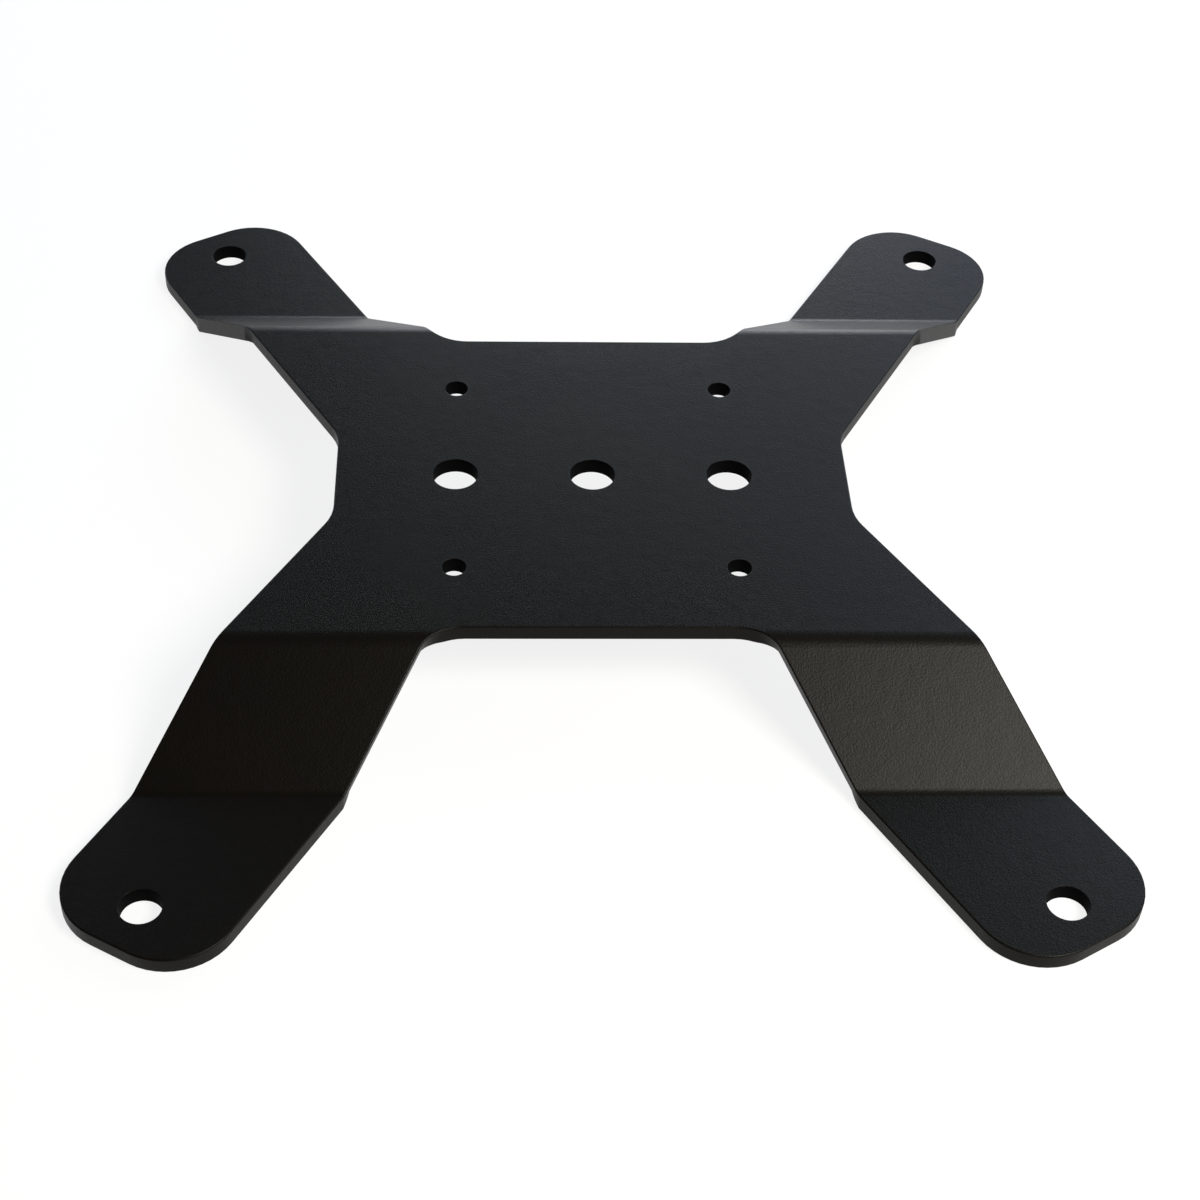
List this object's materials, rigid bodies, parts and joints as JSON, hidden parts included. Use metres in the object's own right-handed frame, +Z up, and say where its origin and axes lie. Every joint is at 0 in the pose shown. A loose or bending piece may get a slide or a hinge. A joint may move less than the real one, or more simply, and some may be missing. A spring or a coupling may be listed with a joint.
{
  "type": "floor bracket",
  "caption": "X-shaped floor bracket of folded steel sheet, with a raised level plate for bolting on a load and feet to bolt to the floor.",
  "frame": {"origin": "centre of the footprint, on the floor", "axes": "+X along the row of three large holes, +Y from the front arms to the rear arms, +Z up from the floor"},
  "size_m": [0.349, 0.3972, 0.035],
  "materials": {
    "coated_steel": "dark grey powder coat, satin with a fine grain"
  },
  "bodies": {
    "root": {"bracket": "coated_steel"}
  },
  "joints": []
}
